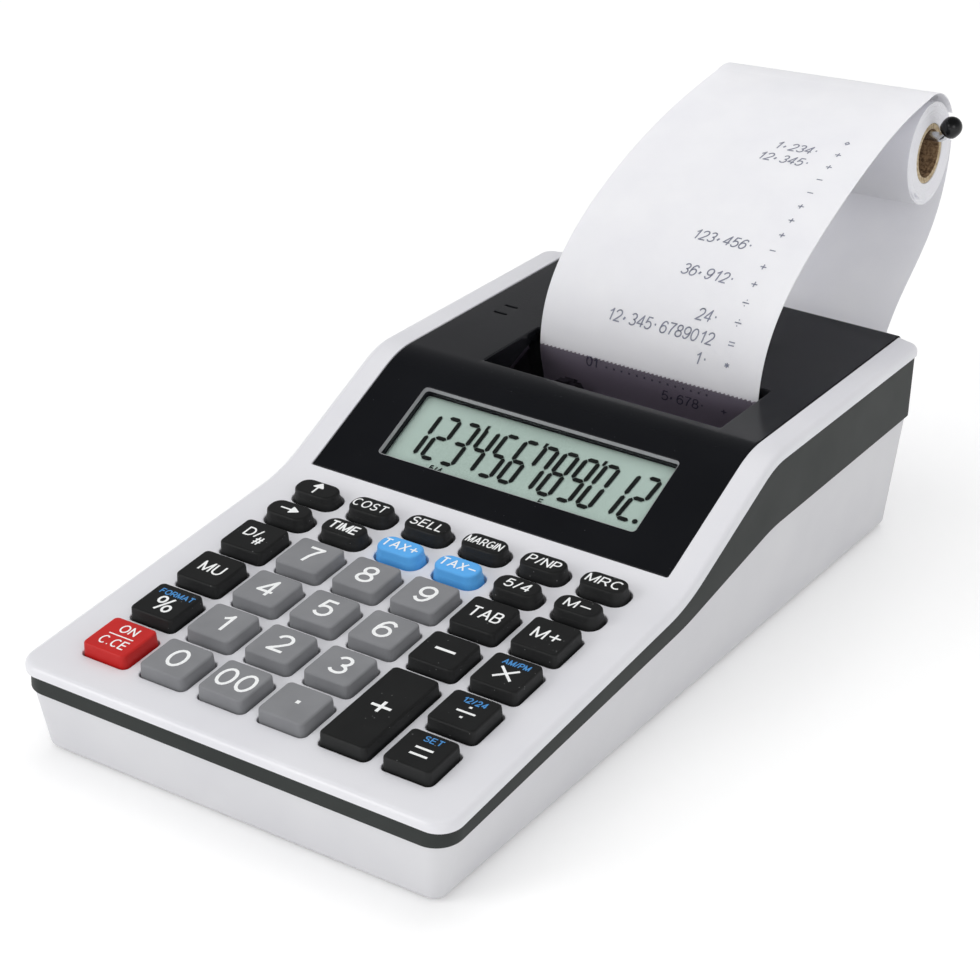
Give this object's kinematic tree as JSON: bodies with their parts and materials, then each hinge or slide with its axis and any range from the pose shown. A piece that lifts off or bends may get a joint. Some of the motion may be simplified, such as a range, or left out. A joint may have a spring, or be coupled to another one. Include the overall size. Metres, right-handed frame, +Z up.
{
  "type": "printing calculator",
  "caption": "Portable printing calculator with a sloped keyboard, tilted display, smoked tear window and a paper roll on a folding wire arm.",
  "frame": {"origin": "on the table under the middle of the whole calculator's width and length, paper roll included", "axes": "+X to the user's right, +Y away from the user towards the paper roll, +Z up"},
  "size_m": [0.102, 0.2466, 0.0947],
  "materials": {
    "white_plastic": "fine satin, off-white",
    "pale_plastic": "satin, pale grey",
    "dark_plastic": "satin, charcoal",
    "gloss_black": "glossy, black",
    "grey_rubber": "matte, mid grey",
    "black_rubber": "matte, black",
    "red_rubber": "matte, red",
    "blue_rubber": "matte, light blue",
    "bezel_grey": "satin, light grey",
    "lcd_glass": "glass over grey-green liquid crystal",
    "smoked_acrylic": "clear, smoked",
    "paper": "matte, white paper",
    "cardboard": "matte, brown card",
    "steel_wire": "bright drawn wire",
    "zinc_sheet": "zinc-plated sheet",
    "nylon": "satin, natural nylon",
    "circuit_board": "satin, green solder mask",
    "silicone": "matte, translucent white",
    "ink_felt": "inked felt",
    "foot_rubber": "matte, black",
    "legend_white": "matte pad-printed ink, white",
    "legend_blue": "matte pad-printed ink, blue",
    "print_ink": "ribbon ink on paper, blue grey",
    "lcd_segments": "dark liquid crystal segments",
    "cell_wrap": "satin metallic wrap"
  },
  "bodies": {
    "case": {"top_cover": "white_plastic", "display_fascia": "gloss_black", "middle_band": "dark_plastic", "bottom_case": "pale_plastic", "front_foot": "foot_rubber", "rear_foot": "foot_rubber", "lcd_bezel": "bezel_grey", "lcd_glass": "lcd_glass", "lcd_ribbon": "nylon", "main_board": "circuit_board", "key_mat": "silicone", "battery_cells": "cell_wrap", "printer_frame": "zinc_sheet", "printer_motor": "steel_wire", "tear_window": "smoked_acrylic", "paper_tape": "paper"},
    "battery_door": {"battery_door": "pale_plastic"},
    "paper_arm": {"paper_arm": "steel_wire", "arm_cap": "foot_rubber"},
    "paper_roll": {"paper_core": "cardboard", "paper_roll": "paper"},
    "platen_roller": {"platen_roller": "foot_rubber"},
    "type_wheel": {"type_wheel": "nylon"},
    "motor_pinion": {"motor_pinion": "nylon"},
    "ink_roller": {"ink_roller": "ink_felt"},
    "key_on_clear": {"key_on_clear": "red_rubber"},
    "key_0": {"key_0": "grey_rubber"},
    "key_00": {"key_00": "grey_rubber"},
    "key_point": {"key_point": "grey_rubber"},
    "key_plus": {"key_plus": "black_rubber"},
    "key_equals": {"key_equals": "black_rubber"},
    "key_percent": {"key_percent": "black_rubber"},
    "key_1": {"key_1": "grey_rubber"},
    "key_2": {"key_2": "grey_rubber"},
    "key_3": {"key_3": "grey_rubber"},
    "key_divide": {"key_divide": "black_rubber"},
    "key_markup": {"key_markup": "black_rubber"},
    "key_4": {"key_4": "grey_rubber"},
    "key_5": {"key_5": "grey_rubber"},
    "key_6": {"key_6": "grey_rubber"},
    "key_minus": {"key_minus": "black_rubber"},
    "key_multiply": {"key_multiply": "black_rubber"},
    "key_date": {"key_date": "black_rubber"},
    "key_7": {"key_7": "grey_rubber"},
    "key_8": {"key_8": "grey_rubber"},
    "key_9": {"key_9": "grey_rubber"},
    "key_tab": {"key_tab": "black_rubber"},
    "key_memory_plus": {"key_memory_plus": "black_rubber"},
    "key_right": {"key_right": "black_rubber"},
    "key_time": {"key_time": "black_rubber"},
    "key_tax_plus": {"key_tax_plus": "blue_rubber"},
    "key_tax_minus": {"key_tax_minus": "blue_rubber"},
    "key_round": {"key_round": "black_rubber"},
    "key_memory_minus": {"key_memory_minus": "black_rubber"},
    "key_up": {"key_up": "black_rubber"},
    "key_cost": {"key_cost": "black_rubber"},
    "key_sell": {"key_sell": "black_rubber"},
    "key_margin": {"key_margin": "black_rubber"},
    "key_print": {"key_print": "black_rubber"},
    "key_memory_recall": {"key_memory_recall": "black_rubber"}
  },
  "joints": [
    {"name": "paper_arm_fold", "type": "hinge", "parent": "case", "child": "paper_arm", "pos_m": [-0.034, 0.07576, 0.0246], "axis": [-1, 0, 0], "range_deg": [0, 55], "deforming": ["paper_tape"]},
    {"name": "battery_door_slide", "type": "slide", "parent": "case", "child": "battery_door", "axis": [0, -1, 0], "range_m": [0, 0.003]},
    {"name": "paper_roll_spin", "type": "hinge", "parent": "paper_arm", "child": "paper_roll", "pos_m": [0.0043, 0.11035, 0.07862], "axis": [0.9992, 0, 0.0401], "continuous": true},
    {"name": "platen_spin", "type": "hinge", "parent": "case", "child": "platen_roller", "pos_m": [0.0043, 0.03626, 0.03119], "axis": [1, 0, 0], "continuous": true},
    {"name": "type_wheel_spin", "type": "hinge", "parent": "case", "child": "type_wheel", "pos_m": [0.0043, 0.02106, 0.03119], "axis": [1, 0, 0], "continuous": true},
    {"name": "motor_pinion_spin", "type": "hinge", "parent": "case", "child": "motor_pinion", "pos_m": [-0.0306, 0.01303, 0.02396], "axis": [1, 0, 0], "continuous": true},
    {"name": "ink_roller_spin", "type": "hinge", "parent": "case", "child": "ink_roller", "pos_m": [-0.014, 0.00954, 0.02582], "axis": [1, 0, 0], "continuous": true},
    {"name": "key_on_clear_press", "type": "slide", "parent": "case", "child": "key_on_clear", "axis": [0, 0.1007, -0.9949], "range_m": [0, 0.0012], "stiffness_N_per_m": 300, "springref_m": -0.0003, "deforming": ["key_mat"]},
    {"name": "key_0_press", "type": "slide", "parent": "case", "child": "key_0", "axis": [0, 0.1007, -0.9949], "range_m": [0, 0.0012], "stiffness_N_per_m": 300, "springref_m": -0.0003, "deforming": ["key_mat"]},
    {"name": "key_00_press", "type": "slide", "parent": "case", "child": "key_00", "axis": [0, 0.1007, -0.9949], "range_m": [0, 0.0012], "stiffness_N_per_m": 300, "springref_m": -0.0003, "deforming": ["key_mat"]},
    {"name": "key_point_press", "type": "slide", "parent": "case", "child": "key_point", "axis": [0, 0.1007, -0.9949], "range_m": [0, 0.0012], "stiffness_N_per_m": 300, "springref_m": -0.0003, "deforming": ["key_mat"]},
    {"name": "key_plus_press", "type": "slide", "parent": "case", "child": "key_plus", "axis": [0, 0.1007, -0.9949], "range_m": [0, 0.0012], "stiffness_N_per_m": 300, "springref_m": -0.0003, "deforming": ["key_mat"]},
    {"name": "key_equals_press", "type": "slide", "parent": "case", "child": "key_equals", "axis": [0, 0.1007, -0.9949], "range_m": [0, 0.0012], "stiffness_N_per_m": 300, "springref_m": -0.0003, "deforming": ["key_mat"]},
    {"name": "key_percent_press", "type": "slide", "parent": "case", "child": "key_percent", "axis": [0, 0.1007, -0.9949], "range_m": [0, 0.0012], "stiffness_N_per_m": 300, "springref_m": -0.0003, "deforming": ["key_mat"]},
    {"name": "key_1_press", "type": "slide", "parent": "case", "child": "key_1", "axis": [0, 0.1007, -0.9949], "range_m": [0, 0.0012], "stiffness_N_per_m": 300, "springref_m": -0.0003, "deforming": ["key_mat"]},
    {"name": "key_2_press", "type": "slide", "parent": "case", "child": "key_2", "axis": [0, 0.1007, -0.9949], "range_m": [0, 0.0012], "stiffness_N_per_m": 300, "springref_m": -0.0003, "deforming": ["key_mat"]},
    {"name": "key_3_press", "type": "slide", "parent": "case", "child": "key_3", "axis": [0, 0.1007, -0.9949], "range_m": [0, 0.0012], "stiffness_N_per_m": 300, "springref_m": -0.0003, "deforming": ["key_mat"]},
    {"name": "key_divide_press", "type": "slide", "parent": "case", "child": "key_divide", "axis": [0, 0.1007, -0.9949], "range_m": [0, 0.0012], "stiffness_N_per_m": 300, "springref_m": -0.0003, "deforming": ["key_mat"]},
    {"name": "key_markup_press", "type": "slide", "parent": "case", "child": "key_markup", "axis": [0, 0.1007, -0.9949], "range_m": [0, 0.0012], "stiffness_N_per_m": 300, "springref_m": -0.0003, "deforming": ["key_mat"]},
    {"name": "key_4_press", "type": "slide", "parent": "case", "child": "key_4", "axis": [0, 0.1007, -0.9949], "range_m": [0, 0.0012], "stiffness_N_per_m": 300, "springref_m": -0.0003, "deforming": ["key_mat"]},
    {"name": "key_5_press", "type": "slide", "parent": "case", "child": "key_5", "axis": [0, 0.1007, -0.9949], "range_m": [0, 0.0012], "stiffness_N_per_m": 300, "springref_m": -0.0003, "deforming": ["key_mat"]},
    {"name": "key_6_press", "type": "slide", "parent": "case", "child": "key_6", "axis": [0, 0.1007, -0.9949], "range_m": [0, 0.0012], "stiffness_N_per_m": 300, "springref_m": -0.0003, "deforming": ["key_mat"]},
    {"name": "key_minus_press", "type": "slide", "parent": "case", "child": "key_minus", "axis": [0, 0.1007, -0.9949], "range_m": [0, 0.0012], "stiffness_N_per_m": 300, "springref_m": -0.0003, "deforming": ["key_mat"]},
    {"name": "key_multiply_press", "type": "slide", "parent": "case", "child": "key_multiply", "axis": [0, 0.1007, -0.9949], "range_m": [0, 0.0012], "stiffness_N_per_m": 300, "springref_m": -0.0003, "deforming": ["key_mat"]},
    {"name": "key_date_press", "type": "slide", "parent": "case", "child": "key_date", "axis": [0, 0.1007, -0.9949], "range_m": [0, 0.0012], "stiffness_N_per_m": 300, "springref_m": -0.0003, "deforming": ["key_mat"]},
    {"name": "key_7_press", "type": "slide", "parent": "case", "child": "key_7", "axis": [0, 0.1007, -0.9949], "range_m": [0, 0.0012], "stiffness_N_per_m": 300, "springref_m": -0.0003, "deforming": ["key_mat"]},
    {"name": "key_8_press", "type": "slide", "parent": "case", "child": "key_8", "axis": [0, 0.1007, -0.9949], "range_m": [0, 0.0012], "stiffness_N_per_m": 300, "springref_m": -0.0003, "deforming": ["key_mat"]},
    {"name": "key_9_press", "type": "slide", "parent": "case", "child": "key_9", "axis": [0, 0.1007, -0.9949], "range_m": [0, 0.0012], "stiffness_N_per_m": 300, "springref_m": -0.0003, "deforming": ["key_mat"]},
    {"name": "key_tab_press", "type": "slide", "parent": "case", "child": "key_tab", "axis": [0, 0.1007, -0.9949], "range_m": [0, 0.0012], "stiffness_N_per_m": 300, "springref_m": -0.0003, "deforming": ["key_mat"]},
    {"name": "key_memory_plus_press", "type": "slide", "parent": "case", "child": "key_memory_plus", "axis": [0, 0.1007, -0.9949], "range_m": [0, 0.0012], "stiffness_N_per_m": 300, "springref_m": -0.0003, "deforming": ["key_mat"]},
    {"name": "key_right_press", "type": "slide", "parent": "case", "child": "key_right", "axis": [0, 0.1007, -0.9949], "range_m": [0, 0.0012], "stiffness_N_per_m": 300, "springref_m": -0.0003, "deforming": ["key_mat"]},
    {"name": "key_time_press", "type": "slide", "parent": "case", "child": "key_time", "axis": [0, 0.1007, -0.9949], "range_m": [0, 0.0012], "stiffness_N_per_m": 300, "springref_m": -0.0003, "deforming": ["key_mat"]},
    {"name": "key_tax_plus_press", "type": "slide", "parent": "case", "child": "key_tax_plus", "axis": [0, 0.1007, -0.9949], "range_m": [0, 0.0012], "stiffness_N_per_m": 300, "springref_m": -0.0003, "deforming": ["key_mat"]},
    {"name": "key_tax_minus_press", "type": "slide", "parent": "case", "child": "key_tax_minus", "axis": [0, 0.1007, -0.9949], "range_m": [0, 0.0012], "stiffness_N_per_m": 300, "springref_m": -0.0003, "deforming": ["key_mat"]},
    {"name": "key_round_press", "type": "slide", "parent": "case", "child": "key_round", "axis": [0, 0.1007, -0.9949], "range_m": [0, 0.0012], "stiffness_N_per_m": 300, "springref_m": -0.0003, "deforming": ["key_mat"]},
    {"name": "key_memory_minus_press", "type": "slide", "parent": "case", "child": "key_memory_minus", "axis": [0, 0.1007, -0.9949], "range_m": [0, 0.0012], "stiffness_N_per_m": 300, "springref_m": -0.0003, "deforming": ["key_mat"]},
    {"name": "key_up_press", "type": "slide", "parent": "case", "child": "key_up", "axis": [0, 0.1007, -0.9949], "range_m": [0, 0.0012], "stiffness_N_per_m": 300, "springref_m": -0.0003, "deforming": ["key_mat"]},
    {"name": "key_cost_press", "type": "slide", "parent": "case", "child": "key_cost", "axis": [0, 0.1007, -0.9949], "range_m": [0, 0.0012], "stiffness_N_per_m": 300, "springref_m": -0.0003, "deforming": ["key_mat"]},
    {"name": "key_sell_press", "type": "slide", "parent": "case", "child": "key_sell", "axis": [0, 0.1007, -0.9949], "range_m": [0, 0.0012], "stiffness_N_per_m": 300, "springref_m": -0.0003, "deforming": ["key_mat"]},
    {"name": "key_margin_press", "type": "slide", "parent": "case", "child": "key_margin", "axis": [0, 0.1007, -0.9949], "range_m": [0, 0.0012], "stiffness_N_per_m": 300, "springref_m": -0.0003, "deforming": ["key_mat"]},
    {"name": "key_print_press", "type": "slide", "parent": "case", "child": "key_print", "axis": [0, 0.1007, -0.9949], "range_m": [0, 0.0012], "stiffness_N_per_m": 300, "springref_m": -0.0003, "deforming": ["key_mat"]},
    {"name": "key_memory_recall_press", "type": "slide", "parent": "case", "child": "key_memory_recall", "axis": [0, 0.1007, -0.9949], "range_m": [0, 0.0012], "stiffness_N_per_m": 300, "springref_m": -0.0003, "deforming": ["key_mat"]}
  ],
  "couplings": [
    {"joint": "type_wheel_spin", "follows": "platen_spin", "ratio": -1},
    {"joint": "motor_pinion_spin", "follows": "platen_spin", "ratio": 2.375},
    {"joint": "ink_roller_spin", "follows": "platen_spin", "ratio": 1.9524}
  ]
}
